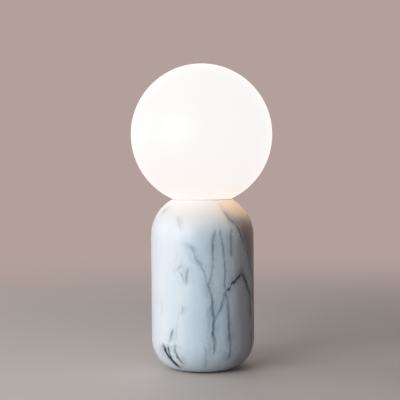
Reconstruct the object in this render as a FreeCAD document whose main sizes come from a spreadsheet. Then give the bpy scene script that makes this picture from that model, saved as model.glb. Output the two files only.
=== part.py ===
import FreeCAD, Part
import math
import os
import re

import Sketcher
from FreeCAD import Vector

# Glass globe table lamp, in millimetres. +Z is up, the origin is on the table under the lamp's axis,
# -Y is the front and +Y the rear, where the cord enters.
#
# A glazed ceramic body stands on a foam pad. A hollow stem tube runs through it from the bottom plate
# to the lampholder, and its two nuts clamp the gallery plate, the body and the bottom plate together.
# The opal globe nests in the dished top of the body, on a silicone ring, and lifts straight off.

sizes = {
    # Ceramic body
    "body_radius": 51.0,
    "body_crown": 172.2,
    "shoulder_radius": 41.0,
    "corner_radius": 33.0,
    "toe_radius": 20.0,
    "toe_angle": 45.0,
    "body_wall": 6.0,
    "glaze_edge": 0.6,
    "land_width": 1.6,
    "foot_ring": 4.6,
    # Globe
    "globe_radius": 70.0,
    "globe_wall": 3.0,
    "collar_wall": 2.5,
    "collar_length": 15.5,
    "collar_fillet": 1.0,
    # Seat ring
    "seat_lip": 0.6,
    "seat_leg": 0.9,
    "seat_depth": 6.0,
    "seat_setback": 0.3,
    # Foot
    "pad_thickness": 1.2,
    "pad_setback": 2.0,
    "gasket_thickness": 1.0,
    "gasket_width": 2.6,
    "bottom_plate_thickness": 2.0,
    "ballast_height": 22.0,
    "ballast_chamfer": 1.5,
    # Stem
    "tube_radius": 5.0,
    "tube_bore_radius": 4.0,
    "tube_end": 0.4,
    "tube_grip": 7.0,
    "slot_width": 6.4,
    "slot_length": 16.0,
    "nut_flats": 14.0,
    "nut_height": 3.0,
    "star_radius": 8.5,
    "star_thickness": 0.8,
    "washer_radius": 12.0,
    "washer_thickness": 1.0,
    # Gallery and its leaf springs
    "gallery_edge": 0.6,
    "gallery_thickness": 1.2,
    "spring_thickness": 0.4,
    "spring_width": 6.0,
    "spring_foot": 5.0,
    "spring_bend": 1.2,
    "spring_rise": 8.0,
    "spring_lead": 5.0,
    "spring_knee": 2.0,
    "spring_lean": 14.0,
    "spring_tuck": 28.0,
    "rivet_radius": 1.4,
    "rivet_head_radius": 2.3,
    "rivet_head": 0.8,
    "rivet_tail": 0.7,
    "spring_count": 3,
    # Lampholder, small Edison screw
    "holder_radius": 14.0,
    "holder_wall": 1.7,
    "holder_neck_radius": 8.0,
    "holder_neck": 6.0,
    "holder_flare": 5.0,
    "holder_cap_height": 18.0,
    "holder_floor": 1.6,
    "holder_skirt_height": 31.0,
    "skirt_chamfer": 0.8,
    "holder_ledge": 1.2,
    "insert_height": 8.0,
    "insert_sink": 3.0,
    "shell_bore": 7.2,
    "shell_wall": 0.5,
    "shell_height": 17.0,
    "shell_flange": 0.6,
    "shell_flange_width": 2.3,
    "tongue_width": 4.0,
    "tongue_thickness": 0.5,
    "tongue_rise": 1.8,
    "tongue_reach": 5.0,
    "tongue_foot": 3.0,
    "tongue_tip": 3.0,
    "terminal_radius": 1.6,
    "terminal_length": 5.0,
    "terminal_head": 0.8,
    "terminal_spacing": 13.0,
    "grub_radius": 1.5,
    # Bulb, small Edison screw
    "bulb_radius": 22.5,
    "bulb_length": 78.0,
    "bulb_wall": 1.4,
    "dome_drop": 10.5,
    "bulb_neck_radius": 8.4,
    "screw_cap_radius": 6.9,
    "screw_cap_wall": 0.4,
    "screw_cap_start": 3.0,
    "screw_cap_end": 18.5,
    "eyelet_radius": 2.4,
    "eyelet_height": 1.2,
    "insulator_face": 3.4,
    "insulator_start": 0.7,
    "insulator_seat": 2.0,
    "spigot_length": 4.0,
    "bulb_ledge": 3.0,
    "board_thickness": 1.6,
    "driver_width": 11.0,
    "driver_thickness": 1.6,
    "driver_start": 20.0,
    # Cord inlet
    "inlet_level": 38.0,
    "inlet_hole_radius": 5.0,
    "inlet_bore": 3.2,
    "inlet_flange_radius": 7.4,
    "inlet_flange": 1.8,
    "inlet_lip_radius": 6.4,
    "inlet_lip": 2.0,
    # Clearances
    "globe_gap": 0.3,
    "collar_gap": 1.0,
    "well_gap": 2.5,
    "bulb_passage": 1.5,
    "plate_gap": 0.4,
    "tube_gap": 0.1,
    "ceramic_hole_gap": 0.5,
    "nut_cover": 0.8,
    "holder_gap": 1.0,
    "spring_gap": 0.2,
    "insert_gap": 0.2,
    "contact_gap": 0.3,
    "board_gap": 0.3,
    "fit_gap": 0.1,
}

# Lengths and levels that follow from the sizes. A level is a height above the table.
derived = {
    "collar_bore": "bulb_radius + bulb_passage",
    "collar_outer": "collar_bore + collar_wall",
    "seat_inner": "collar_outer + collar_gap",
    "well_radius": "seat_inner + seat_leg",
    "rim_radius": "well_radius + land_width",
    "seat_outer": "rim_radius - seat_setback",
    "seat_sphere": "globe_radius + globe_gap",
    "land_sphere": "seat_sphere + seat_lip",
    "hub_radius": "well_radius + body_wall",
    "shoulder_axis": "body_radius - shoulder_radius",
    "shoulder_start": "body_crown - shoulder_radius",
    "rim_height": "shoulder_start + sqrt(shoulder_radius^2 - (rim_radius - shoulder_axis)^2)",
    "toe_sine": "sin(toe_angle * 1 deg)",
    "toe_cosine": "cos(toe_angle * 1 deg)",
    "corner_start": "toe_radius + (corner_radius - toe_radius) * toe_sine",
    "corner_axis": "body_radius - corner_radius",
    "foot_radius": "corner_axis + (corner_radius - toe_radius) * toe_cosine",
    "rebate_radius": "foot_radius - foot_ring",
    "nut_depth": "star_thickness + nut_height + tube_end + nut_cover",
    "rebate_depth": "gasket_thickness + bottom_plate_thickness + nut_depth",
    "opening_radius": "rebate_radius - gasket_width - plate_gap",
    "floor_height": "rebate_depth + body_wall",
    "globe_height": "rim_height + sqrt(land_sphere^2 - rim_radius^2)",
    # Centre of the rounded lip, which touches the shoulder from inside and the seat from below
    "lip_reach": "shoulder_radius - glaze_edge",
    "lip_rise": "globe_height - shoulder_start",
    "lip_span": "sqrt(shoulder_axis^2 + lip_rise^2)",
    "lip_share": "(lip_reach^2 - (land_sphere + glaze_edge)^2 + lip_span^2) / (2 * lip_span)",
    "lip_side": "sqrt(lip_reach^2 - lip_share^2)",
    "lip_axis": "shoulder_axis + (lip_side * lip_rise - lip_share * shoulder_axis) / lip_span",
    "lip_height": "shoulder_start + (lip_share * lip_rise + lip_side * shoulder_axis) / lip_span",
    "collar_top": "globe_height - sqrt(globe_radius^2 - collar_outer^2)",
    "collar_end": "collar_top - collar_length",
    "well_height": "collar_end - well_gap",
    "foot_level": "pad_thickness",
    "rebate_level": "foot_level + rebate_depth",
    "bottom_plate_level": "rebate_level - gasket_thickness - bottom_plate_thickness",
    "low_star_level": "bottom_plate_level - star_thickness",
    "low_nut_level": "low_star_level - nut_height",
    "ballast_level": "bottom_plate_level + bottom_plate_thickness",
    "well_level": "foot_level + well_height",
    "gallery_level": "well_level + washer_thickness",
    "spring_level": "gallery_level + gallery_thickness",
    "high_nut_level": "spring_level + star_thickness",
    "holder_level": "high_nut_level + nut_height + holder_gap",
    "tube_foot": "low_nut_level - tube_end",
    "tube_top": "holder_level + tube_grip",
    "insert_level": "holder_level + holder_cap_height - insert_sink",
    "shell_level": "insert_level + insert_height",
    "bulb_level": "shell_level + tongue_rise + contact_gap",
    "holder_bore": "holder_radius - holder_wall",
    "bulb_centre": "bulb_length - bulb_radius",
    "bulb_skirt": "bulb_centre - dome_drop",
    "bulb_seam": "sqrt(bulb_radius^2 - dome_drop^2)",
    "dome_bore": "sqrt((bulb_radius - bulb_wall)^2 - dome_drop^2)",
    "skirt_level": "holder_level + holder_cap_height",
    "spring_sine": "sin(spring_lean * 1 deg)",
    "spring_cosine": "cos(spring_lean * 1 deg)",
    "tuck_sine": "sin(spring_tuck * 1 deg)",
    "tuck_cosine": "cos(spring_tuck * 1 deg)",
    "spring_reach": "collar_bore - spring_gap - spring_thickness / 2 - spring_knee * (1 - spring_cosine)",
    "spring_heel": "spring_reach - spring_rise * spring_sine - spring_bend * spring_cosine",
    "gallery_radius": "spring_heel + gallery_edge",
}


doc = FreeCAD.newDocument("globe_lamp")
sheet = doc.addObject("Spreadsheet::Sheet", "sizes")
for row, (name, size) in enumerate(sizes.items(), 1):
    sheet.set(f"A{row}", name)
    sheet.set(f"B{row}", str(size))
    sheet.setAlias(f"B{row}", name)
doc.recompute()


# Formulas: each is written with the words above and bound to the cells of the sheet.
def full(formula):
    def swap(word):
        if word in sizes:
            return "sizes." + word
        if word in derived:
            return "(" + full(derived[word]) + ")"
        return word

    return re.sub(r"[a-z_]+", lambda found: swap(found.group(0)), formula)


def number(formula):
    value = sheet.evalExpression(full(formula))
    return float(getattr(value, "Value", value))


def bind(item, **formulas):
    for place, formula in formulas.items():
        item.setExpression(place.replace("__", "."), full(formula))


def lift(item, level):
    bind(item, Placement__Base__z=level)


# Sketches: an outline is a closed list of corners, each with its two formulas. A third one makes
# the edge that starts there an arc of that radius, and "left" or "right" is the side of its centre.
def new_sketch(body, role, name):
    sketch = body.newObject("Sketcher::SketchObject", name)
    plane = next(item for item in body.Origin.OriginFeatures if item.Role == role)
    sketch.AttachmentSupport = (plane, [""])
    sketch.MapMode = "FlatFace"
    return sketch


def arc_between(first, last, radius, side):
    if side == "right":
        first, last = last, first
    chord = last - first
    middle = (first + last) * 0.5
    inward = Vector(-chord.y, chord.x, 0).normalize()
    centre = middle + inward * math.sqrt(max(radius**2 - chord.Length**2 / 4, 0))
    angles = [math.atan2(point.y - centre.y, point.x - centre.x) for point in (first, last)]
    return Part.ArcOfCircle(Part.Circle(centre, Vector(0, 0, 1), radius), *angles)


def pin(sketch, edge, end, formulas, point):
    for kind, axis, formula, size in (
        ("DistanceX", -2, formulas[0], point.x),
        ("DistanceY", -1, formulas[1], point.y),
    ):
        if formula == "0":
            sketch.addConstraint(Sketcher.Constraint("PointOnObject", edge, end, axis))
        else:
            rule = sketch.addConstraint(Sketcher.Constraint(kind, -1, 1, edge, end, size))
            sketch.setExpression(f"Constraints[{rule}]", full(formula))


def draw_edges(sketch, corners, closed):
    points = [Vector(number(corner[0]), number(corner[1]), 0) for corner in corners]
    count = len(corners) if closed else len(corners) - 1
    ends = []
    for index in range(count):
        first = points[index]
        last = points[(index + 1) % len(points)]
        if len(corners[index]) == 2:
            edge = sketch.addGeometry(Part.LineSegment(first, last), False)
            ends.append((edge, 1, 2))
            continue
        radius, side = corners[index][2:]
        edge = sketch.addGeometry(arc_between(first, last, number(radius), side), False)
        rule = sketch.addConstraint(Sketcher.Constraint("Radius", edge, number(radius)))
        sketch.setExpression(f"Constraints[{rule}]", full(radius))
        ends.append((edge, 1, 2) if side == "left" else (edge, 2, 1))
    for index in range(count if closed else count - 1):
        edge, _, end = ends[index]
        following, start, _ = ends[(index + 1) % count]
        sketch.addConstraint(Sketcher.Constraint("Coincident", edge, end, following, start))
    for (edge, start, _), corner, point in zip(ends, corners, points):
        pin(sketch, edge, start, corner, point)
    if not closed:
        edge, _, end = ends[-1]
        pin(sketch, edge, end, corners[-1], points[-1])


def draw_circle(sketch, radius, across="0", up="0"):
    centre = Vector(number(across), number(up), 0)
    circle = Part.Circle(centre, Vector(0, 0, 1), number(radius))
    edge = sketch.addGeometry(circle, False)
    rule = sketch.addConstraint(Sketcher.Constraint("Radius", edge, number(radius)))
    sketch.setExpression(f"Constraints[{rule}]", full(radius))
    pin(sketch, edge, 3, (across, up), centre)


# Features
def new_body(label):
    return doc.addObject("PartDesign::Body", label)


def turned(label, level, corners):
    # A body of revolution about the lamp's axis, from its half outline of radii and heights.
    body = new_body(label)
    sketch = new_sketch(body, "XZ_Plane", label + "_outline")
    draw_edges(sketch, corners, True)
    turn = body.newObject("PartDesign::Revolution", label + "_turn")
    turn.Profile = sketch
    turn.ReferenceAxis = (sketch, ["V_Axis"])
    turn.Angle = 360
    lift(body, level)
    return body


def padded(body, sketch, height, both_ways=False):
    pad = body.newObject("PartDesign::Pad", sketch.Name + "_pad")
    pad.Profile = sketch
    bind(pad, Length=height)
    pad.Midplane = both_ways
    return pad


def disc(label, level, height, outer, inner=None):
    body = new_body(label)
    sketch = new_sketch(body, "XY_Plane", label + "_outline")
    draw_circle(sketch, outer)
    if inner:
        draw_circle(sketch, inner)
    padded(body, sketch, height)
    lift(body, level)
    return body


def cylinder(name, radius, height, **places):
    item = doc.addObject("Part::Cylinder", name)
    bind(item, Radius=radius, Height=height, **places)
    return item


def cut(name, base, tool):
    item = doc.addObject("Part::Cut", name)
    item.Base = base
    item.Tool = tool
    return item


def group(label, items):
    item = doc.addObject("Part::Compound", label)
    item.Links = items
    return item


# Ceramic body: one wall all round, with a well in its top for the collar of the globe, a wide
# opening under it and a rebate that hides the bottom plate and its nut.
def ceramic_body():
    body = turned(
        "ceramic_body",
        "foot_level",
        [
            ("rebate_radius + glaze_edge", "0"),
            ("foot_radius", "0", "toe_radius", "left"),
            (
                "corner_axis + corner_radius * toe_cosine",
                "corner_start - corner_radius * toe_sine",
                "corner_radius",
                "left",
            ),
            ("body_radius", "corner_start"),
            ("body_radius", "shoulder_start", "shoulder_radius", "left"),
            (
                "shoulder_axis + (lip_axis - shoulder_axis) * shoulder_radius / lip_reach",
                "shoulder_start + (lip_height - shoulder_start) * shoulder_radius / lip_reach",
                "glaze_edge",
                "left",
            ),
            (
                "lip_axis * land_sphere / (land_sphere + glaze_edge)",
                "globe_height + (lip_height - globe_height) * land_sphere / (land_sphere + glaze_edge)",
                "land_sphere",
                "right",
            ),
            ("well_radius", "globe_height - sqrt(land_sphere^2 - well_radius^2)"),
            ("well_radius", "well_height"),
            ("tube_radius + ceramic_hole_gap", "well_height"),
            ("tube_radius + ceramic_hole_gap", "well_height - body_wall"),
            ("hub_radius", "well_height - body_wall"),
            (
                "hub_radius",
                "shoulder_start + sqrt((shoulder_radius - body_wall)^2 - (hub_radius - shoulder_axis)^2)",
                "shoulder_radius - body_wall",
                "right",
            ),
            ("body_radius - body_wall", "shoulder_start"),
            ("body_radius - body_wall", "corner_start", "corner_radius - body_wall", "right"),
            (
                "corner_axis + sqrt((corner_radius - body_wall)^2 - (corner_start - floor_height)^2)",
                "floor_height",
            ),
            ("opening_radius", "floor_height"),
            ("opening_radius", "rebate_depth"),
            ("rebate_radius", "rebate_depth"),
            ("rebate_radius", "glaze_edge", "glaze_edge", "left"),
        ],
    )
    sketch = new_sketch(body, "XZ_Plane", "inlet_hole")
    draw_circle(sketch, "inlet_hole_radius", "0", "inlet_level - foot_level")
    hole = body.newObject("PartDesign::Pocket", "inlet_pocket")
    hole.Profile = sketch
    bind(hole, Length="body_radius + 1")
    return body


# Globe: a blown opal sphere with a straight collar. Fillets run one into the other, outside and in,
# and round the collar's fire-polished end.
def globe():
    end = "globe_height - collar_end"
    outer_joint, outer_on_sphere = collar_joint("collar_outer", "globe_radius")
    inner_joint, inner_on_sphere = collar_joint("collar_bore", "(globe_radius - globe_wall)")
    return turned(
        "globe",
        "foot_level + globe_height",
        [
            ("collar_bore + collar_fillet", f"-({end})"),
            ("collar_outer - collar_fillet", f"-({end})", "collar_fillet", "left"),
            ("collar_outer", f"-({end}) + collar_fillet"),
            ("collar_outer", outer_joint, "collar_fillet", "right"),
            outer_on_sphere + ("globe_radius", "left"),
            ("0", "globe_radius"),
            ("0", "globe_radius - globe_wall", "globe_radius - globe_wall", "right"),
            inner_on_sphere + ("collar_fillet", "left"),
            ("collar_bore", inner_joint),
            ("collar_bore", f"-({end}) + collar_fillet", "collar_fillet", "left"),
        ],
    )


def collar_joint(collar, sphere):
    # Where a fillet outside both touches the collar (a height) and the sphere (a corner).
    height = f"-sqrt(({sphere} + collar_fillet)^2 - ({collar} + collar_fillet)^2)"
    share = f"{sphere} / ({sphere} + collar_fillet)"
    return height, (f"({collar} + collar_fillet) * {share}", f"{height} * {share}")


def seat_ring():
    under = "-sqrt(land_sphere^2 - well_radius^2)"
    return turned(
        "seat_ring",
        "foot_level + globe_height",
        [
            ("seat_inner", f"{under} - seat_depth"),
            ("well_radius", f"{under} - seat_depth"),
            ("well_radius", under, "land_sphere", "left"),
            ("seat_outer", "-sqrt(land_sphere^2 - seat_outer^2)"),
            ("seat_outer", "-sqrt(seat_sphere^2 - seat_outer^2)", "seat_sphere", "right"),
            ("seat_inner", "-sqrt(seat_sphere^2 - seat_inner^2)"),
        ],
    )


# Foot: a foam pad, a steel plate with a gasket in the rebate and an iron weight inside the opening.
def foot():
    disc("foot_pad", "0", "pad_thickness", "foot_radius - pad_setback")
    disc("bottom_plate", "bottom_plate_level", "bottom_plate_thickness", "rebate_radius - plate_gap",
         "tube_radius + tube_gap")
    disc("foot_gasket", "ballast_level", "gasket_thickness", "rebate_radius - plate_gap",
         "rebate_radius - plate_gap - gasket_width")
    weight_radius = "opening_radius - plate_gap"
    turned(
        "ballast_weight",
        "ballast_level",
        [
            ("tube_radius + ceramic_hole_gap", "0"),
            (weight_radius, "0"),
            (weight_radius, "ballast_height - ballast_chamfer"),
            (weight_radius + " - ballast_chamfer", "ballast_height"),
            ("tube_radius + ceramic_hole_gap", "ballast_height"),
        ],
    )


# Stem: a threaded tube with a slot at its rear, through which the cord goes up to the lampholder.
def stem_tube():
    body = new_body("stem_tube")
    sketch = new_sketch(body, "XY_Plane", "tube_section")
    draw_circle(sketch, "tube_radius")
    draw_circle(sketch, "tube_bore_radius")
    padded(body, sketch, "tube_top - tube_foot")
    lift(body, "tube_foot")
    half = "slot_width / 2"
    low = "inlet_level - tube_foot - slot_length / 2"
    high = "inlet_level - tube_foot + slot_length / 2"
    slot = new_sketch(body, "XZ_Plane", "cord_slot")
    draw_edges(
        slot,
        [
            (half, low),
            (half, high, half, "left"),
            ("0", f"{high} + {half}", half, "left"),
            (f"-{half}", high),
            (f"-{half}", low, half, "left"),
            ("0", f"{low} - {half}", half, "left"),
        ],
        True,
    )
    pocket = body.newObject("PartDesign::Pocket", "slot_pocket")
    pocket.Profile = slot
    bind(pocket, Length="tube_radius + 1")
    return body


def nut(name, level):
    blank = doc.addObject("Part::Prism", name + "_blank")
    blank.Polygon = 6
    bind(blank, Circumradius="nut_flats / sqrt(3)", Height="nut_height")
    hole = cylinder(name + "_hole", "tube_radius + tube_gap", "nut_height")
    item = cut(name, blank, hole)
    lift(item, level)
    return item


def stem_fixings():
    group("stem_nuts", [nut("low_nut", "low_nut_level"), nut("high_nut", "high_nut_level")])
    bore = "tube_radius + tube_gap"
    group(
        "star_washers",
        [
            disc("low_star", "low_star_level", "star_thickness", "star_radius", bore),
            disc("high_star", "spring_level", "star_thickness", "star_radius", bore),
        ],
    )
    disc("well_washer", "well_level", "washer_thickness", "washer_radius", "tube_radius + ceramic_hole_gap")
    plate = disc("gallery_plate", "gallery_level", "gallery_thickness", "gallery_radius", bore)
    hole = rivet_hole(plate, "gallery_thickness", "0", rivet_place)
    ring = plate.newObject("PartDesign::PolarPattern", "plate_hole_ring")
    ring.Originals = [hole]
    ring.Axis = (hole.Profile[0], ["N_Axis"])
    ring.Angle = 360
    bind(ring, Occurrences="spring_count")
    plate.Tip = ring


# Gallery springs: strips bent from the riveted foot up to a knee that bears on the collar's bore.
rivet_place = "spring_heel - spring_foot / 2"


def rivet_hole(body, depth, across, up):
    sketch = new_sketch(body, "XY_Plane", body.Name + "_rivet_hole")
    draw_circle(sketch, "rivet_radius + fit_gap", across, up)
    pocket = body.newObject("PartDesign::Pocket", body.Name + "_rivet_pocket")
    pocket.Profile = sketch
    pocket.Reversed = True
    bind(pocket, Length=depth)
    return pocket


def ring_angles():
    count = int(number("spring_count"))
    return [90 + 360 * index / count for index in range(count)]


def leaf_spring(index, angle):
    body = new_body(f"leaf_spring_{index}")
    half = "spring_thickness / 2"
    heel = ("spring_heel", half)
    rise = (
        "spring_heel + spring_bend * spring_cosine",
        f"{half} + spring_bend * (1 - spring_sine)",
    )
    knee = (
        f"{rise[0]} + spring_rise * spring_sine",
        f"{rise[1]} + spring_rise * spring_cosine",
    )
    tuck = (
        f"{knee[0]} + spring_knee * (tuck_cosine - spring_cosine)",
        f"{knee[1]} + spring_knee * (tuck_sine + spring_sine)",
    )
    tip = (
        f"{tuck[0]} - spring_lead * tuck_sine",
        f"{tuck[1]} + spring_lead * tuck_cosine",
    )
    path = new_sketch(body, "XZ_Plane", f"spring_path_{index}")
    draw_edges(
        path,
        [
            ("spring_heel - spring_foot", half),
            heel + ("spring_bend", "left"),
            rise,
            knee + ("spring_knee", "left"),
            tuck,
            tip,
        ],
        False,
    )
    section = new_sketch(body, "YZ_Plane", f"spring_section_{index}")
    bind(section, AttachmentOffset__Base__z="spring_heel - spring_foot")
    side = "spring_width / 2"
    draw_edges(
        section,
        [(f"-{side}", "0"), (side, "0"), (side, "spring_thickness"), (f"-{side}", "spring_thickness")],
        True,
    )
    pipe = body.newObject("PartDesign::AdditivePipe", f"spring_strip_{index}")
    pipe.Profile = section
    pipe.Spine = path
    rivet_hole(body, "spring_thickness", rivet_place, "0")
    body.Placement.Rotation = FreeCAD.Rotation(Vector(0, 0, 1), angle)
    lift(body, "spring_level")
    return body


def rivet(index, angle):
    # Pan head above the spring's foot, shank through foot and plate, set head under the plate.
    body = turned(
        f"rivet_{index}",
        "spring_level",
        [
            ("0", "-gallery_thickness - rivet_tail"),
            ("rivet_head_radius - rivet_tail", "-gallery_thickness - rivet_tail"),
            ("rivet_head_radius", "-gallery_thickness"),
            ("rivet_radius", "-gallery_thickness"),
            ("rivet_radius", "spring_thickness"),
            ("rivet_head_radius", "spring_thickness"),
            ("0", "spring_thickness + rivet_head"),
        ],
    )
    turn = f"{angle} * 1 deg"
    bind(
        body,
        Placement__Base__x=f"({rivet_place}) * cos({turn})",
        Placement__Base__y=f"({rivet_place}) * sin({turn})",
    )
    return body


def gallery_springs():
    angles = list(enumerate(ring_angles(), 1))
    group("globe_springs", [leaf_spring(index, angle) for index, angle in angles])
    group("spring_rivets", [rivet(index, angle) for index, angle in angles])


# Lampholder: a cap screwed on the tube, an insert that carries the contacts, and a skirt over both.
def holder_cap():
    inner = "holder_bore - holder_ledge"
    return turned(
        "holder_cap",
        "holder_level",
        [
            ("tube_radius + tube_gap", "0"),
            ("holder_neck_radius", "0"),
            ("holder_neck_radius", "holder_neck"),
            ("holder_radius", "holder_neck + holder_flare"),
            ("holder_radius", "holder_cap_height"),
            ("holder_bore", "holder_cap_height"),
            ("holder_bore", "holder_cap_height - insert_sink"),
            (inner, "holder_cap_height - insert_sink"),
            (inner, "holder_neck + holder_flare"),
            ("holder_neck_radius", "tube_grip + holder_floor"),
            ("tube_bore_radius", "tube_grip + holder_floor"),
            ("tube_bore_radius", "tube_grip"),
            ("tube_radius + tube_gap", "tube_grip"),
        ],
    )


def holder_insert():
    body = new_body("holder_insert")
    sketch = new_sketch(body, "XY_Plane", "insert_outline")
    draw_circle(sketch, "holder_bore - insert_gap")
    padded(body, sketch, "insert_height")
    holes = new_sketch(body, "XY_Plane", "terminal_holes")
    for side in ("-terminal_spacing / 2", "terminal_spacing / 2"):
        draw_circle(holes, "terminal_radius + fit_gap", side)
    pocket = body.newObject("PartDesign::Pocket", "terminal_pocket")
    pocket.Profile = holes
    pocket.Reversed = True
    bind(pocket, Length="terminal_length")
    lift(body, "insert_level")
    return body


def terminal_screw(side, sign):
    body = turned(
        f"terminal_screw_{side}",
        "insert_level",
        [
            ("0", "-terminal_head"),
            ("terminal_radius + terminal_head", "-terminal_head"),
            ("terminal_radius + terminal_head", "0"),
            ("terminal_radius", "0"),
            ("terminal_radius", "terminal_length"),
            ("0", "terminal_length"),
        ],
    )
    bind(body, Placement__Base__x=f"{sign}terminal_spacing / 2")
    return body


def holder_skirt():
    seat = "insert_level + insert_height + shell_flange - skirt_level"
    sleeve = "shell_bore + shell_wall + fit_gap"
    return turned(
        "holder_skirt",
        "skirt_level",
        [
            ("holder_bore", "0"),
            ("holder_radius", "0"),
            ("holder_radius", "holder_skirt_height - skirt_chamfer"),
            ("holder_radius - skirt_chamfer", "holder_skirt_height"),
            ("holder_bore", "holder_skirt_height"),
            ("holder_bore", f"{seat} + holder_floor"),
            (sleeve, f"{seat} + holder_floor"),
            (sleeve, seat),
            ("holder_bore", seat),
        ],
    )


def contact_shell():
    outer = "shell_bore + shell_wall"
    return turned(
        "contact_shell",
        "shell_level",
        [
            ("shell_bore", "0"),
            (f"{outer} + shell_flange_width", "0"),
            (f"{outer} + shell_flange_width", "shell_flange"),
            (outer, "shell_flange"),
            (outer, "shell_height"),
            ("shell_bore", "shell_height"),
        ],
    )


def centre_contact():
    body = new_body("centre_contact")
    sketch = new_sketch(body, "XZ_Plane", "tongue_outline")
    draw_edges(
        sketch,
        [
            ("-tongue_reach", "0"),
            ("-tongue_reach + tongue_foot", "0"),
            ("-tongue_thickness", "tongue_rise - tongue_thickness"),
            ("tongue_tip", "tongue_rise - tongue_thickness"),
            ("tongue_tip", "tongue_rise"),
            ("-2 * tongue_thickness", "tongue_rise"),
            ("-tongue_reach + tongue_foot - tongue_thickness", "tongue_thickness"),
            ("-tongue_reach", "tongue_thickness"),
        ],
        True,
    )
    padded(body, sketch, "tongue_width", True)
    lift(body, "shell_level")
    return body


def grub_screw():
    # Through the neck of the cap, against the tube.
    item = cylinder("grub_screw", "grub_radius", "holder_neck_radius - tube_radius - tube_gap")
    item.Placement.Rotation = FreeCAD.Rotation(Vector(0, 1, 0), 90)
    bind(item, Placement__Base__x="tube_radius + tube_gap")
    lift(item, "holder_level + holder_neck / 2")
    return item


def lampholder():
    hole = cylinder("grub_hole", "grub_radius", "holder_neck_radius")
    hole.Placement.Rotation = FreeCAD.Rotation(Vector(0, 1, 0), 90)
    lift(hole, "holder_level + holder_neck / 2")
    cap = holder_cap()
    cap.Label = "cap_blank"
    cut("holder_cap_drilled", cap, hole).Label = "holder_cap"
    holder_insert()
    group("terminal_screws", [terminal_screw("left", "-"), terminal_screw("right", "")])
    holder_skirt()
    contact_shell()
    centre_contact()
    grub_screw()


# Bulb: screw cap with its insulator and eyelet, a hollow housing, and a frosted dome over the board.
def bulb():
    spigot = "screw_cap_radius - screw_cap_wall - fit_gap"
    disc("bulb_eyelet", "bulb_level", "eyelet_height", "eyelet_radius")
    turned(
        "bulb_insulator",
        "bulb_level",
        [
            ("eyelet_radius", "insulator_start"),
            ("insulator_face", "insulator_start"),
            (spigot, "screw_cap_start"),
            (spigot, "screw_cap_start + insulator_seat"),
            ("0", "screw_cap_start + insulator_seat"),
            ("0", "eyelet_height"),
            ("eyelet_radius", "eyelet_height"),
        ],
    )
    turned(
        "bulb_screw_cap",
        "bulb_level",
        [
            ("screw_cap_radius - screw_cap_wall", "screw_cap_start"),
            ("screw_cap_radius", "screw_cap_start"),
            ("screw_cap_radius", "screw_cap_end"),
            ("screw_cap_radius - screw_cap_wall", "screw_cap_end"),
        ],
    )
    turned(
        "bulb_housing",
        "bulb_level",
        [
            (f"{spigot} - bulb_wall", "screw_cap_end - spigot_length"),
            (spigot, "screw_cap_end - spigot_length"),
            (spigot, "screw_cap_end"),
            ("bulb_neck_radius", "screw_cap_end"),
            ("bulb_seam", "bulb_skirt"),
            ("bulb_seam - bulb_ledge", "bulb_skirt"),
            ("bulb_seam - bulb_ledge", "bulb_skirt - bulb_wall"),
            ("bulb_seam - bulb_wall", "bulb_skirt - bulb_wall"),
            ("bulb_neck_radius - bulb_wall", "screw_cap_end + bulb_wall"),
            (f"{spigot} - bulb_wall", "screw_cap_end + bulb_wall"),
        ],
    )
    turned(
        "bulb_dome",
        "bulb_level",
        [
            ("dome_bore", "bulb_skirt"),
            ("bulb_seam", "bulb_skirt", "bulb_radius", "left"),
            ("0", "bulb_length"),
            ("0", "bulb_length - bulb_wall", "bulb_radius - bulb_wall", "right"),
        ],
    )
    disc("bulb_board", "bulb_level + bulb_skirt", "board_thickness", "dome_bore - board_gap")
    driver = doc.addObject("Part::Box", "bulb_driver")
    bind(
        driver,
        Length="driver_width",
        Width="driver_thickness",
        Height="bulb_skirt - driver_start",
        Placement__Base__x="-driver_width / 2",
        Placement__Base__y="-driver_thickness / 2",
    )
    lift(driver, "bulb_level + driver_start")


# Cord inlet: a snap-in bush whose flange and lip follow the curved wall on both sides.
def cord_inlet():
    inner_face = "body_radius - body_wall"
    blank = turned(
        "inlet_blank",
        "inlet_level",
        [
            ("inlet_bore", f"{inner_face} - inlet_lip"),
            ("inlet_hole_radius", f"{inner_face} - inlet_lip"),
            ("inlet_lip_radius", inner_face),
            ("inlet_lip_radius", "body_radius - body_wall / 2"),
            ("inlet_flange_radius", "body_radius - body_wall / 2"),
            ("inlet_flange_radius", "body_radius", "inlet_flange", "left"),
            ("inlet_flange_radius - inlet_flange", "body_radius + inlet_flange"),
            ("inlet_bore", "body_radius + inlet_flange"),
        ],
    )
    blank.Placement.Rotation = FreeCAD.Rotation(Vector(1, 0, 0), -90)
    reach = "4 * inlet_flange_radius"
    base = f"inlet_level - {reach} / 2"
    outside = cylinder("wall_outside", "body_radius", reach, Placement__Base__z=base)
    inside = cylinder("wall_inside", inner_face, reach, Placement__Base__z=base)
    hole = cylinder("wall_hole", "inlet_hole_radius", "body_radius + 1")
    hole.Placement.Rotation = FreeCAD.Rotation(Vector(1, 0, 0), -90)
    lift(hole, "inlet_level")
    wall = cut("wall_drilled", cut("wall_ring", outside, inside), hole)
    return cut("cord_inlet", blank, wall)


ceramic_body()
globe()
seat_ring()
foot()
stem_tube()
stem_fixings()
gallery_springs()
lampholder()
bulb()
cord_inlet()
doc.recompute()

subparts = """
ceramic_body globe seat_ring foot_pad bottom_plate foot_gasket ballast_weight stem_tube stem_nuts
star_washers well_washer gallery_plate globe_springs spring_rivets holder_cap holder_insert
terminal_screws holder_skirt contact_shell centre_contact grub_screw bulb_eyelet bulb_insulator
bulb_screw_cap bulb_housing bulb_dome bulb_board bulb_driver cord_inlet
""".split()

for item in doc.Objects:
    if {"Invalid", "Error"} & set(item.State):
        raise RuntimeError(f"{item.Name} failed: {item.State}")

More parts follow.
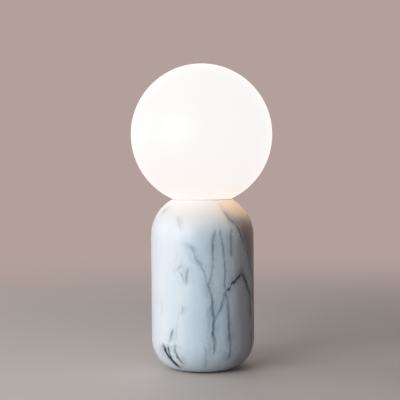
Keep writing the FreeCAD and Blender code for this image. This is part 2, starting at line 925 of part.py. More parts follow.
os.makedirs("parts", exist_ok=True)
for label in subparts:
    item = doc.getObjectsByLabel(label)[0]
    if item.Shape.isNull() or not item.Shape.isValid() or item.Shape.Volume <= 0:
        raise RuntimeError(f"{label} has no valid solid")
    item.Shape.exportStep(f"parts/{label}.step")
    box = item.Shape.BoundBox
    print(f"{label:16} {len(item.Shape.Solids)} solid  {item.Shape.Volume:10.1f} mm3  "
          f"z {box.ZMin:7.2f} to {box.ZMax:7.2f}")
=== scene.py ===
import bmesh
import bpy
import math
from mathutils import Matrix, Vector


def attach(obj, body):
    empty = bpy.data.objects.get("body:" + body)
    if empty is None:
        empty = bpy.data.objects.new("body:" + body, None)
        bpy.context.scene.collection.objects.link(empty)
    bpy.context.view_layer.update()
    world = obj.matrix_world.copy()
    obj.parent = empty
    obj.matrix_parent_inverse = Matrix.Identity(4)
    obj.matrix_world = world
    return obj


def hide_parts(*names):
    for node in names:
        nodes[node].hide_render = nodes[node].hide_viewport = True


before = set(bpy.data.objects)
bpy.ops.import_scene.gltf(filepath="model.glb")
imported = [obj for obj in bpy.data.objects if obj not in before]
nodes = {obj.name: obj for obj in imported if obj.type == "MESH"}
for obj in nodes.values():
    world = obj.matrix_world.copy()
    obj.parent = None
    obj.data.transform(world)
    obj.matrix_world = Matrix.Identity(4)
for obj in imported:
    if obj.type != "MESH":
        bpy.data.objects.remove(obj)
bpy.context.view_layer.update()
scene = bpy.context.scene
mm = 0.001
print("frame loaded:", len(nodes), "nodes")


# a wire is an output socket that can be added, multiplied and so on
class Wire:
    def __init__(self, network, socket):
        self.network = network
        self.socket = socket

    def __add__(self, other):
        return self.network.maths("ADD", self, other)

    def __radd__(self, other):
        return self.network.maths("ADD", other, self)

    def __sub__(self, other):
        return self.network.maths("SUBTRACT", self, other)

    def __rsub__(self, other):
        return self.network.maths("SUBTRACT", other, self)

    def __mul__(self, other):
        return self.network.maths("MULTIPLY", self, other)

    def __rmul__(self, other):
        return self.network.maths("MULTIPLY", other, self)

    def __truediv__(self, other):
        return self.network.maths("DIVIDE", self, other)

    def __rtruediv__(self, other):
        return self.network.maths("DIVIDE", other, self)


class Network:
    def __init__(self, tree):
        self.tree = tree

    def feed(self, node, sockets):
        for name, value in sockets.items():
            if isinstance(name, str) and name[0] == "i" and name[1:].isdigit():
                name = int(name[1:])  # a socket by its number, where names repeat
            socket = node.inputs[name if isinstance(name, int) else name.replace("_", " ")]
            if isinstance(value, Wire):
                self.tree.links.new(value.socket, socket)
            else:
                socket.default_value = value

    def node(self, kind, settings=None, out=0, **sockets):
        made = self.tree.nodes.new(kind)
        for name, value in (settings or {}).items():
            if name == "points":
                setPoints(made.mapping, value)
            else:
                setattr(made, name, value)
        self.feed(made, sockets)
        return Wire(self, made.outputs[out])

    def maths(self, operation, *values):
        named = {f"i{number}": value for number, value in enumerate(values)}
        return self.node("ShaderNodeMath", {"operation": operation}, **named)

    def smooth(self, value, low, high):
        return self.node("ShaderNodeMapRange", {"interpolation_type": "SMOOTHSTEP"},
                         Value=value, From_Min=low, From_Max=high)

    def axes(self, vector):
        made = self.tree.nodes.new("ShaderNodeSeparateXYZ")
        self.feed(made, {"Vector": vector})
        return [Wire(self, socket) for socket in made.outputs]


class Finish(Network):
    def __init__(self, name, **sockets):
        self.material = bpy.data.materials.new(name)
        self.material.use_nodes = True
        super().__init__(self.material.node_tree)
        self.shader = self.tree.nodes["Principled BSDF"]
        self.feed(self.shader, sockets)
        self.place = self.node("ShaderNodeTexCoord", out="Object")

    def noise(self, scale, stretch=(1, 1, 1), detail=2.0, rough=0.5, warp=0.0, shift=(0, 0, 0)):
        where = self.node("ShaderNodeMapping", Vector=self.place, Scale=stretch, Location=shift)
        return self.node("ShaderNodeTexNoise", Vector=where, Scale=scale, Detail=detail,
                         Roughness=rough, Distortion=warp)

    def blend(self, factor, first, second):
        settings = {"data_type": "RGBA", "clamp_factor": True}
        return self.node("ShaderNodeMix", settings, out=2, i0=factor, i6=tint(first), i7=tint(second))

    def bump(self, height, distance, strength=1.0):
        normal = self.node("ShaderNodeBump", Height=height, Strength=strength, Distance=distance)
        self.feed(self.shader, {"Normal": normal})

    def to(self, **sockets):
        self.feed(self.shader, sockets)
        return self.material


def tint(value):
    return value if isinstance(value, Wire) else (*value[:3], 1.0)


def setPoints(mapping, points):
    curve = mapping.curves[0]
    while len(curve.points) < len(points):
        curve.points.new(0.5, 0.5)
    for point, place in zip(curve.points, points):
        point.location = place
        point.handle_type = "AUTO_CLAMPED"
    mapping.update()


# camera: a metre away, a little above the lamp's shoulder, as in the photograph
view = {"distance": 1.0, "height": 0.2, "down": 1.86, "roll": -0.45, "yaw": 0.115, "lens": 90.5}
cameraData = bpy.data.cameras.new("camera")
cameraData.lens = view["lens"]
cameraData.sensor_width = 36
camera = bpy.data.objects.new("camera", cameraData)
camera.matrix_world = (
    Matrix.Translation((0, -view["distance"], view["height"]))
    @ Matrix.Rotation(math.radians(view["yaw"]), 4, "Z")
    @ Matrix.Rotation(math.radians(90 - view["down"]), 4, "X")
    @ Matrix.Rotation(math.radians(view["roll"]), 4, "Z")
)
scene.collection.objects.link(camera)
scene.camera = camera
scene.view_settings.view_transform = "Standard"

# studio: a big soft window on the left, weak cards on the right and behind, and a pale floor
studio = {
    "backdrop": (0.45, 0.352, 0.332),
    "floor": (0.74, 0.68, 0.64),
    "floorBounce": (0.26, 0.235, 0.22),
    "sky": (0.91, 0.91, 0.95),
    "skyLevel": 0.125,
    "fadeFrom": 0.25,
    "fadeTo": 1.3,
    "floorSize": 8.0,
    "lampsAimAt": (0, 0, 0.13),
}
softboxes = {
    "windowLeft": {"at": (-0.80, -0.90, 0.29), "size": 1.0, "power": 15.1, "colour": (0.945, 0.98, 1.0)},
    "windowSide": {"at": (-1.15, 0.12, 0.35), "size": 0.6, "power": 2.2, "colour": (0.97, 0.98, 1.0)},
    "windowTop": {"at": (-0.35, -0.1, 1.3), "size": 0.8, "power": 0.8, "colour": (1.0, 1.0, 1.0)},
    "cardRight": {"at": (1.2, -0.5, 0.4), "size": 0.8, "power": 0.25, "colour": (1.0, 0.90, 0.80)},
    "cardRear": {"at": (-0.3, 1.25, 0.75), "size": 0.9, "power": 2.4, "colour": (1.0, 0.97, 0.94)},
}
for name, box in softboxes.items():
    light = bpy.data.lights.new(name, "AREA")
    light.shape = "SQUARE"
    light.size = box["size"]
    light.energy = box["power"]
    light.color = box["colour"]
    stand = bpy.data.objects.new(name, light)
    stand.location = box["at"]
    aim = Vector(studio["lampsAimAt"]) - stand.location
    stand.rotation_euler = aim.to_track_quat("-Z", "Y").to_euler()
    scene.collection.objects.link(stand)

# the lit globe's warm glow on the shoulder: small lamps round its underside, seen only by their light
glowRing = {"count": 8, "radius": 0.068, "height": 0.189, "size": 0.024, "power": 0.00135,
            "spread": 110, "colour": (1.0, 0.74, 0.46), "aimRadius": 0.038, "aimHeight": 0.160,
            "even": 0.8, "least": 0.1}  # the lower even is, the more the glow gathers on the right
for step in range(glowRing["count"]):
    turn = (step + 0.5) * 2 * math.pi / glowRing["count"]
    light = bpy.data.lights.new("globeGlow", "AREA")
    light.size = glowRing["size"]
    light.energy = glowRing["power"] * max(glowRing["even"] + math.cos(turn), glowRing["least"])
    light.spread = math.radians(glowRing["spread"])
    light.color = glowRing["colour"]
    lamp = bpy.data.objects.new("globeGlow", light)
    outward = Vector((math.cos(turn), math.sin(turn), 0))
    lamp.location = outward * glowRing["radius"] + Vector((0, 0, glowRing["height"]))
    shoulder = outward * glowRing["aimRadius"] + Vector((0, 0, glowRing["aimHeight"]))
    lamp.rotation_euler = (shoulder - lamp.location).to_track_quat("-Z", "Y").to_euler()
    lamp.visible_camera = False
    lamp.visible_glossy = False
    scene.collection.objects.link(lamp)


def seenDirectly(network):
    # rays that see the backdrop itself: from the camera, a reflection or clear glass
    path = network.tree.nodes.new("ShaderNodeLightPath")
    kinds = ("Is Camera Ray", "Is Glossy Ray", "Is Transmission Ray")
    rays = [Wire(network, path.outputs[kind]) for kind in kinds]
    return network.maths("MAXIMUM", network.maths("MAXIMUM", rays[0], rays[1]), rays[2])


world = bpy.data.worlds.new("studio")
world.use_nodes = True
air = Network(world.node_tree)
world.node_tree.nodes.clear()
sky = air.node("ShaderNodeBackground", Color=tint(studio["sky"]), Strength=studio["skyLevel"])
wall = air.node("ShaderNodeBackground", Color=tint(studio["backdrop"]), Strength=1.0)
seen = air.node("ShaderNodeMixShader", i0=seenDirectly(air), i1=sky, i2=wall)
outlet = world.node_tree.nodes.new("ShaderNodeOutputWorld")
air.feed(outlet, {"Surface": seen})
scene.world = world

floorFinish = Finish("paleFloor", Roughness=0.75)
seenFloor = floorFinish.blend(seenDirectly(floorFinish), studio["floorBounce"], studio["floor"])
floorFinish.feed(floorFinish.shader, {"Base Color": seenFloor})
away = floorFinish.node("ShaderNodeVectorMath", {"operation": "LENGTH"}, out="Value", i0=floorFinish.place)
fade = floorFinish.smooth(away, studio["fadeFrom"], studio["fadeTo"]) * seenDirectly(floorFinish)
speckle = floorFinish.noise(420, detail=3)
floorFinish.feed(floorFinish.shader, {"Roughness": 0.68 + speckle * 0.12})
glow = floorFinish.node("ShaderNodeEmission", Color=tint(studio["backdrop"]), Strength=1.0)
plain = Wire(floorFinish, floorFinish.shader.outputs[0])
mixed = floorFinish.node("ShaderNodeMixShader", i0=fade, i1=plain, i2=glow)
floorFinish.feed(floorFinish.tree.nodes["Material Output"], {"Surface": mixed})
half = studio["floorSize"] / 2
floorMesh = bpy.data.meshes.new("floor")
floorCorners = [(-half, -half, 0), (half, -half, 0), (half, half, 0), (-half, half, 0)]
floorMesh.from_pydata(floorCorners, [], [(0, 1, 2, 3)])
floorMesh.materials.append(floorFinish.material)
floor = bpy.data.objects.new("floor", floorMesh)
scene.collection.objects.link(floor)
print("camera, lights and floor done")


# Geometry Nodes: each tree is a small program with named inputs
class Shaping(Network):
    def __init__(self, name, **inputs):
        super().__init__(bpy.data.node_groups.new(name, "GeometryNodeTree"))
        for label, kind in {**inputs, "Finish": "Material"}.items():
            self.tree.interface.new_socket(label, in_out="INPUT", socket_type="NodeSocket" + kind)
        self.tree.interface.new_socket("Shape", in_out="OUTPUT", socket_type="NodeSocketGeometry")
        start = self.tree.nodes.new("NodeGroupInput")
        self.inputs = {label: Wire(self, start.outputs[label]) for label in (*inputs, "Finish")}

    def end(self, shape):
        real = self.node("GeometryNodeRealizeInstances", Geometry=shape)
        dressed = self.node("GeometryNodeSetMaterial", Geometry=real, Material=self.inputs["Finish"])
        self.feed(self.tree.nodes.new("NodeGroupOutput"), {"Shape": dressed})
        return self


def turningTree():
    # turns an outline of radius and height about the lamp's axis; Depth and Pitch roll a thread in it,
    # and many Starts with an endless Pitch make it flutes
    tree = Shaping("turning", Outline="Geometry", Segments="Int", Pitch="Float", Starts="Int",
                   Depth="Float", From="Float", To="Float", Reach="Float")
    i = tree.inputs
    count = tree.node("GeometryNodeAttributeDomainSize", Geometry=i["Outline"])
    across = i["Segments"] + 1
    sheet = tree.node("GeometryNodeMeshGrid", Size_X=1.0, Size_Y=1.0, Vertices_X=count, Vertices_Y=across)
    index = tree.node("GeometryNodeInputIndex")
    row = tree.maths("FLOOR", (index + 0.5) / across)
    angle = (index - row * across) * (2 * math.pi) / i["Segments"]
    position = tree.node("GeometryNodeInputPosition")
    spot = tree.node("GeometryNodeSampleIndex", {"data_type": "FLOAT_VECTOR"}, Geometry=i["Outline"],
                     Value=position, Index=row)
    radius, _, height = tree.axes(spot)
    phase = height / i["Pitch"] * (2 * math.pi) + angle * i["Starts"]
    wave = 0.5 - 0.5 * tree.maths("COSINE", phase)
    runOut = 1.2 * mm
    span = tree.smooth(height, i["From"], i["From"] + runOut) * tree.smooth(height, i["To"], i["To"] - runOut)
    span = span * tree.maths("GREATER_THAN", radius, i["Reach"])
    radius = radius - wave * span * i["Depth"]
    place = tree.node("ShaderNodeCombineXYZ", X=radius * tree.maths("COSINE", angle),
                      Y=radius * tree.maths("SINE", angle), Z=height)
    turned = tree.node("GeometryNodeSetPosition", Geometry=sheet, Position=place)
    return tree.end(tree.node("GeometryNodeMergeByDistance", Geometry=turned, Distance=2e-6))


def ringTree():
    # copies a piece round the lamp's axis
    tree = Shaping("ringOfCopies", Piece="Geometry", Count="Int", Start="Float")
    i = tree.inputs
    line = tree.node("GeometryNodeMeshLine", Count=i["Count"], Offset=(0, 0, 0))
    index = tree.node("GeometryNodeInputIndex")
    spin = tree.node("ShaderNodeCombineXYZ", Z=index * (2 * math.pi) / i["Count"] + i["Start"])
    return tree.end(tree.node("GeometryNodeInstanceOnPoints", Points=line, Instance=i["Piece"], Rotation=spin))


turning = turningTree()
ringOfCopies = ringTree()


def run(source, network, finish, **values):
    # runs a tree on an object's mesh and returns the plain mesh that comes out
    scene.collection.objects.link(source)
    modifier = source.modifiers.new("shape", "NODES")
    modifier.node_group = network.tree
    for item in network.tree.interface.items_tree:
        value = finish if item.name == "Finish" else values.get(item.name)
        if item.in_out == "INPUT" and value is not None:
            modifier[item.identifier] = value
    ready = source.evaluated_get(bpy.context.evaluated_depsgraph_get())
    mesh = bpy.data.meshes.new_from_object(ready)
    source.modifiers.remove(modifier)
    bpy.data.objects.remove(source)
    return mesh


def shaded(mesh, sharp=32):
    mesh.shade_smooth()
    mesh.set_sharp_from_angle(angle=math.radians(sharp))
    return mesh


def tidy(mesh, sharp=32):
    made = bmesh.new()
    made.from_mesh(mesh)
    bmesh.ops.dissolve_degenerate(made, dist=1e-7, edges=made.edges)
    bmesh.ops.recalc_face_normals(made, faces=made.faces)
    if made.calc_volume(signed=True) < 0:
        bmesh.ops.reverse_faces(made, faces=made.faces)
    made.to_mesh(mesh)
    made.free()
    return shaded(mesh, sharp)


def turned(outline, finish, closed=True, segments=96, thread=None):
    # outline: (radius, height) in mm
    points = outline + outline[:1] if closed else outline
    mesh = bpy.data.meshes.new("outline")
    links = [(number, number + 1) for number in range(len(points) - 1)]
    mesh.from_pydata([(radius * mm, 0, height * mm) for radius, height in points], links, [])
    source = bpy.data.objects.new("outline", mesh)
    thread = thread or {"Pitch": 1.0, "Starts": 0, "Depth": 0.0, "From": 0.0, "To": 1.0, "Reach": 0.0}
    return tidy(run(source, turning, finish, Segments=segments, **thread))


def joined(meshes, finish):
    whole = bmesh.new()
    for mesh in meshes:
        whole.from_mesh(mesh)
    mesh = bpy.data.meshes.new("joined")
    whole.to_mesh(mesh)
    whole.free()
    mesh.materials.append(finish)
    return shaded(mesh)


def boolean(mesh, tool, operation):
    target = bpy.data.objects.new("target", mesh)
    cutter = bpy.data.objects.new("cutter", tool)
    for item in (target, cutter):
        scene.collection.objects.link(item)
    modifier = target.modifiers.new("boolean", "BOOLEAN")
    modifier.object = cutter
    modifier.operation = operation
    modifier.solver = "EXACT"
    ready = target.evaluated_get(bpy.context.evaluated_depsgraph_get())
    result = bpy.data.meshes.new_from_object(ready)
    for item in (target, cutter):
        bpy.data.objects.remove(item)
    return shaded(result)


def place(name, mesh, body, *replaced):
    mesh.name = name
    piece = bpy.data.objects.new(name, mesh)
    scene.collection.objects.link(piece)
    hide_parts(*replaced)
    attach(piece, body)
    print("piece", name, len(mesh.polygons), "faces")
    return piece


def arc(centre, radius, start, end, steps):
    # points along an arc, in degrees from the outward direction
    turns = [math.radians(start + (end - start) * step / steps) for step in range(steps + 1)]
    return [(centre[0] + radius * math.cos(turn), centre[1] + radius * math.sin(turn)) for turn in turns]


def between(first, last, steps):
    # evenly spaced points from one corner to the next, without the last
    return [(first[0] + (last[0] - first[0]) * step / steps, first[1] + (last[1] - first[1]) * step / steps)
            for step in range(steps)]


def bearing(centre, point):
    return math.degrees(math.atan2(point[1] - centre[1], point[0] - centre[0]))


# finishes of the hidden and the small pieces
def plated(name, colour, rough, threads=0.0):
    metal = Finish(name, Metallic=1.0)
    cloud = metal.noise(90, detail=3)
    grain = metal.noise(1400, detail=2)
    shade = metal.blend(cloud, [c * 0.82 for c in colour], colour)
    height = grain * 0.25
    if threads:
        x, y, z = metal.axes(metal.place)
        turn = metal.maths("ARCTAN2", y, x)
        height = height + metal.maths("SINE", z * (2000 * math.pi / threads) + turn) * 4
    metal.bump(height, 0.00004)
    return metal.to(Base_Color=shade, Roughness=rough - 0.08 + cloud * 0.16)


def moulded(name, colour, rough, texture=0.00002, **sockets):
    plastic = Finish(name, **sockets)
    cloud = plastic.noise(60, detail=2)
    grain = plastic.noise(1800, detail=2)
    plastic.bump(grain, texture)
    shade = plastic.blend(cloud, [c * 0.95 for c in colour], colour)
    return plastic.to(Base_Color=shade, Roughness=rough - 0.05 + cloud * 0.1)


def grainy(name, colour, dark, scale, rough, depth):
    rubber = Finish(name, Specular_IOR_Level=0.35)
    grain = rubber.noise(scale, detail=3, rough=0.6)
    cloud = rubber.noise(45, detail=2)
    rubber.bump(grain, depth)
    shade = rubber.blend(grain * 0.7 + cloud * 0.5 - 0.1, dark, colour)
    return rubber.to(Base_Color=shade, Roughness=rough + grain * 0.12)


zinc = plated("zincPlate", (0.62, 0.63, 0.65), 0.34)
threadedZinc = plated("threadedZinc", (0.60, 0.61, 0.62), 0.36, threads=1.0)
springSteel = plated("springSteel", (0.52, 0.53, 0.56), 0.24)
rivetMetal = plated("rivetAluminium", (0.80, 0.80, 0.79), 0.30)
brass = plated("brassSheet", (0.78, 0.58, 0.27), 0.26)
tinned = plated("tinnedBrass", (0.70, 0.66, 0.56), 0.32)
capMetal = plated("rolledCap", (0.80, 0.80, 0.78), 0.24)
holderPlastic = moulded("holderPlastic", (0.86, 0.84, 0.79), 0.30)
bulbPlastic = moulded("bulbPlastic", (0.88, 0.88, 0.86), 0.24)
inletNylon = moulded("inletNylon", (0.68, 0.68, 0.66), 0.42)
blackGlass = moulded("blackGlass", (0.012, 0.012, 0.014), 0.12, texture=0.000005)
boardLacquer = moulded("boardLacquer", (0.82, 0.82, 0.80), 0.36)
circuitGreen = moulded("circuitGreen", (0.03, 0.16, 0.06), 0.38)
blackIron = grainy("blackIron", (0.030, 0.030, 0.032), (0.012, 0.012, 0.013), 500, 0.48, 0.00012)
footFoam = grainy("footFoam", (0.055, 0.055, 0.055), (0.018, 0.018, 0.018), 1600, 0.78, 0.00012)
gasketRubber = grainy("gasketRubber", (0.045, 0.045, 0.045), (0.02, 0.02, 0.02), 900, 0.6, 0.00004)
redFibre = grainy("redFibre", (0.36, 0.060, 0.035), (0.20, 0.032, 0.02), 700, 0.62, 0.00003)
porcelain = grainy("porcelain", (0.82, 0.80, 0.74), (0.70, 0.67, 0.60), 350, 0.52, 0.00003)
seatSilicone = grainy("seatSilicone", (0.72, 0.67, 0.61), (0.62, 0.57, 0.51), 600, 0.45, 0.00003)

carried = {
    "bottom_plate": zinc, "foot_gasket": gasketRubber, "ballast_weight": blackIron,
    "stem_tube": threadedZinc, "well_washer": redFibre, "gallery_plate": zinc,
    "globe_springs": springSteel, "holder_insert": porcelain, "terminal_screws": brass,
    "centre_contact": brass, "grub_screw": zinc, "bulb_eyelet": tinned, "bulb_insulator": blackGlass,
    "bulb_board": boardLacquer, "bulb_driver": circuitGreen, "cord_inlet": inletNylon,
}
for node, finish in carried.items():
    for slot in nodes[node].material_slots:
        slot.material = finish
print("carried nodes dressed:", len(carried))


# opal globe
globeSizes = {
    "radius": 70.0, "wall": 3.0, "collarBore": 24.0, "collarOuter": 26.5, "collarLength": 15.5,
    "fillet": 1.0, "centre": 232.43,
}
# the side colour is painted shade: it tints the globe's lower right warmer and dimmer
globeLight = {"top": (0.925, 0.91, 0.898), "bottom": (0.94, 0.865, 0.84), "side": (0.96, 0.84, 0.74),
              "rough": 0.40, "skin": 0.045}


def globeOutline():
    g = globeSizes
    centre = (0, g["centre"])
    inner = g["radius"] - g["wall"]
    top = g["centre"] - math.sqrt(g["radius"] ** 2 - g["collarOuter"] ** 2)
    end = top - g["collarLength"]
    joints = []
    for collar, sphere in ((g["collarBore"], inner), (g["collarOuter"], g["radius"])):
        drop = math.sqrt((sphere + g["fillet"]) ** 2 - (collar + g["fillet"]) ** 2)
        joints.append((collar + g["fillet"], g["centre"] - drop))
    innerJoint, outerJoint = joints
    innerTurn = bearing(centre, innerJoint)
    outerTurn = bearing(centre, outerJoint)
    outline = arc(centre, inner, 90, innerTurn, 72)
    outline += arc(innerJoint, g["fillet"], innerTurn + 180, 180, 6)[1:]
    outline += between((g["collarBore"], innerJoint[1] - 0.5), (g["collarBore"], end + g["fillet"]), 4)
    outline += arc((g["collarBore"] + g["fillet"], end + g["fillet"]), g["fillet"], 180, 270, 5)
    outline += arc((g["collarOuter"] - g["fillet"], end + g["fillet"]), g["fillet"], 270, 360, 5)
    outline += between((g["collarOuter"], end + g["fillet"] + 1), (g["collarOuter"], outerJoint[1]), 5)
    outline += arc(outerJoint, g["fillet"], 180, outerTurn + 180, 6)
    outline += arc(centre, g["radius"], outerTurn, 90, 96)[1:]
    outline[0] = (0, g["centre"] + inner)
    outline[-1] = (0, g["centre"] + g["radius"])
    return outline


def opalGlass():
    glass = Finish("opalGlass", IOR=1.5, Specular_IOR_Level=0.20)
    x, y, z = glass.axes(glass.place)
    rise = glass.smooth(z, 0.163, 0.235)
    # painted shade: the glow is made warmer and dimmer on the globe's lower right, the side turned from the key
    # light
    paintedShadeSide = glass.smooth(z, 0.19, 0.163) * glass.smooth(x - glass.maths("ABSOLUTE", y) * 0.5, -0.006, 0.03)
    swirl = glass.noise(16, stretch=(1, 1, 0.5), detail=3, warp=0.6)
    lit = glass.blend(rise + (swirl - 0.5) * 0.25, globeLight["bottom"], globeLight["top"])
    lit = glass.blend(paintedShadeSide, lit, globeLight["side"])
    skin = glass.blend(swirl, [globeLight["skin"] * c for c in (0.97, 0.97, 0.97)], [globeLight["skin"]] * 3)
    glass.bump(glass.noise(35, detail=2), 0.00006)
    rough = globeLight["rough"] + (glass.noise(220, detail=2) - 0.5) * 0.08
    return glass.to(Base_Color=skin, Emission_Color=lit, Emission_Strength=1.0, Roughness=rough)


place("opalGlobe", turned(globeOutline(), opalGlass(), closed=False, segments=224), "globe", "globe")


# ceramic body: its outline with the well in the top, then the hole for the cord inlet
bodySizes = {
    "foot": 1.2, "radius": 51.0, "crown": 172.2, "shoulder": 41.0, "corner": 33.0, "toe": 20.0,
    "toeAngle": 45.0, "wall": 6.0, "lip": 0.6, "well": 28.4, "wellFloor": 148.44,
    "tubeHole": 5.5, "seatSphere": 70.9, "rebate": 22.59, "rebateDepth": 8.0, "opening": 19.59,
    "inletHole": 5.0, "inletLevel": 38.0,
}


def bodyOutline():
    b = bodySizes
    wall = b["wall"]
    corner = (b["radius"] - b["corner"], b["toe"] + (b["corner"] - b["toe"]) * math.sin(math.radians(45)))
    shoulder = (b["radius"] - b["shoulder"], b["crown"] - b["shoulder"])
    footRadius = corner[0] + (b["corner"] - b["toe"]) * math.cos(math.radians(b["toeAngle"]))
    globe = (0, globeSizes["centre"] - b["foot"])
    reach = b["shoulder"] - b["lip"]
    rise = globe[1] - shoulder[1]
    span = math.hypot(shoulder[0], rise)
    share = (reach ** 2 - (b["seatSphere"] + b["lip"]) ** 2 + span ** 2) / (2 * span)
    side = math.sqrt(reach ** 2 - share ** 2)
    lip = (shoulder[0] + (side * rise - share * shoulder[0]) / span,
           shoulder[1] + (share * rise + side * shoulder[0]) / span)
    lipTurn = bearing(shoulder, lip)
    seatTurn = bearing(lip, globe)
    hub = b["well"] + wall
    hubTurn = math.degrees(math.acos((hub - shoulder[0]) / (b["shoulder"] - wall)))
    floor = b["rebateDepth"] + wall
    floorTurn = -math.degrees(math.asin((corner[1] - floor) / (b["corner"] - wall)))
    wellTop = globe[1] - math.sqrt(b["seatSphere"] ** 2 - b["well"] ** 2)
    outline = [(b["rebate"], b["rebateDepth"])]
    outline += arc((b["rebate"] + b["lip"], b["lip"]), b["lip"], 180, 270, 5)
    outline += arc((footRadius, b["toe"]), b["toe"], 270, 270 + b["toeAngle"], 14)
    outline += arc(corner, b["corner"], -b["toeAngle"], 0, 16)[1:]
    outline += between((b["radius"], corner[1] + 8), (b["radius"], shoulder[1]), 12)
    outline += arc(shoulder, b["shoulder"], 0, lipTurn, 44)
    outline += arc(lip, b["lip"], lipTurn, seatTurn, 8)[1:]
    outline += [(b["well"], wellTop), (b["well"], b["wellFloor"]), (b["tubeHole"], b["wellFloor"])]
    outline += [(b["tubeHole"], b["wellFloor"] - wall), (hub, b["wellFloor"] - wall)]
    outline += arc(shoulder, b["shoulder"] - wall, hubTurn, 0, 12)
    outline += arc(corner, b["corner"] - wall, 0, floorTurn, 10)
    outline += [(b["opening"], floor), (b["opening"], b["rebateDepth"])]
    return [(radius, height + b["foot"]) for radius, height in outline]


# Marble veining under the glaze. Front lines are (round, height) in mm, where round is measured
# to the right along the surface from the middle of the front; rear lines from the middle of the rear.
veins = {
    "frontUp": [
        # points, width, ink, haze
        ([(10.6, 20.5), (11.6, 34), (9.7, 43.7), (9.7, 50.4), (10.7, 56.1), (9.8, 62.8), (8.9, 72.3),
          (7.1, 83.8), (4.6, 92.5)], 1.4, 0.90, 0.46),
        ([(5.4, 84), (7.1, 92.4), (8.1, 100.9), (9.1, 110.3), (10.2, 126.5), (12.6, 142)], 1.5, 0.62, 0.42),
        ([(10.2, 53.1), (14.7, 60.7), (17.8, 69.1), (22, 82.3)], 1.2, 0.60, 0.30),
        ([(25.9, 13.7), (27.1, 25.3), (27.2, 34.9), (26.1, 46.5), (26.2, 54.2), (25.1, 65.8),
          (23, 77.4), (22, 84.2)], 1.35, 0.9, 0.44),
        ([(22, 82.2), (21.6, 97.5), (21.1, 109.9), (20.7, 118.5), (19.2, 131.1), (17.5, 143)],
         1.15, 0.66, 0.32),
        ([(28.6, 112.1), (28.9, 130.6), (30.2, 145)], 1.1, 0.50, 0.36),
        ([(5.2, 88.5), (2.4, 97.2), (-2.3, 106.7), (-7, 114.3), (-9.8, 122.8), (-15.7, 130.4)],
         1.5, 0.34, 0.44),
        ([(-20.7, 138.6), (-27, 155)], 1.0, 0.22, 0.24),
        ([(-16.8, 88.9), (-19.4, 96), (-22.8, 103.3)], 1.0, 0.42, 0.22),
        ([(-15.8, 87.5), (-15, 97), (-14.4, 107.5)], 1.7, 0.72, 0.34),
        ([(-29.4, 4.8), (-33.8, 13), (-38.9, 20.2), (-43.6, 31.4)], 2.5, 1.4, 0.50),
        ([(-33.2, 12.2), (-35.4, 21.8), (-35.9, 31)], 1.5, 1.2, 0.40),
        ([(-20.6, 10.7), (-24.8, 14.3), (-27.6, 21.9), (-28.4, 32.5)], 1.5, 1.2, 0.36),
        ([(-34.4, 30), (-32.4, 37.9), (-29.6, 46.9)], 1.4, 1.0, 0.28),
        ([(55.9, 84), (58.5, 62), (60.4, 50.2), (60.8, 14)], 1.5, 1.0, 0.5),
        # painted reflection: this dark line along the far right edge stands for the dark reflection there,
        # drawn as a vein
        ([(74, 144), (69.4, 104), (66.5, 78), (69.8, 46), (75, 16)], 2.3, 1.1, 0.6),
        ([(-56.9, 153.9), (-49.4, 162.9)], 1.3, 0.55, 0.3),
        ([(-22, 58), (-20.4, 66), (-22.3, 72)], 0.9, 0.22, 0.2),
        ([(1.2, 5), (3.6, 18), (2.2, 32)], 1.0, 0.22, 0.28),
    ],
    "frontAcross": [
        ([(21, 83.2), (26.4, 82.9), (29.8, 88.4), (32.2, 89.2), (36, 92.8), (41.5, 96.2), (47.8, 90.8),
          (53.4, 80.5), (58.9, 67.2)], 1.9, 1.12, 0.80),
        ([(22.7, 160.4), (31.4, 148.6), (37.7, 141.7), (44.8, 129.8), (51.8, 117.7), (55.9, 107.6),
          (68, 88)], 2.2, 0.75, 0.70),
        ([(-26.2, 101.8), (-22.6, 105.4), (-18.2, 106.4)], 1.3, 0.60, 0.26),
        ([(-34.9, 25.2), (-32.4, 27.4), (-29.6, 28.2)], 2.2, 1.3, 0.26),
    ],
    "rearUp": [
        ([(-30, 8), (-34, 40), (-27, 66), (-30, 92), (-22, 120), (-24, 154)], 1.4, 0.76, 0.55),
        ([(-29, 86), (-40, 104), (-46, 128), (-43, 156)], 1.3, 0.55, 0.45),
        ([(24, 8), (20, 34), (26, 60), (38, 84), (41, 108), (36, 140), (40, 160)], 1.3, 0.70, 0.5),
        ([(26, 58), (16, 82), (13, 104), (4, 128), (6, 162)], 1.2, 0.58, 0.45),
        ([(-12, 6), (-9, 22), (-14, 40)], 1.5, 0.75, 0.35),
        ([(-66, 14), (-70, 50), (-64, 84), (-72, 120)], 1.2, 0.46, 0.4),
    ],
    "rearAcross": [
        ([(-30, 90), (-16, 97), (-6, 92), (4, 99), (15, 103)], 1.2, 0.55, 0.45),
        ([(23, 58), (38, 50), (52, 55), (66, 48)], 1.1, 0.5, 0.4),
    ],
}
marble = {
    "milk": (0.86, 0.90, 0.94),
    "blue": (0.60, 0.765, 0.90),
    # painted shade: a grey lilac for the right side turned from the key light
    "paintedShadeLilac": (0.56, 0.545, 0.585),
    "slate": (0.19, 0.29, 0.38),
    "vein": (0.060, 0.105, 0.140),
    "ink": (0.012, 0.028, 0.042),
    # painted light: cream for the lit globe's glow on the top of the body
    "paintedGlowCream": (0.85, 0.82, 0.81),
    # painted light: honey for the globe's warm glow on the right shoulder
    "paintedGlowHoney": (0.96, 0.79, 0.64),
    # umber: partly the stone's own brown, partly painted shade on the upper right
    "umber": (0.26, 0.185, 0.155),
}
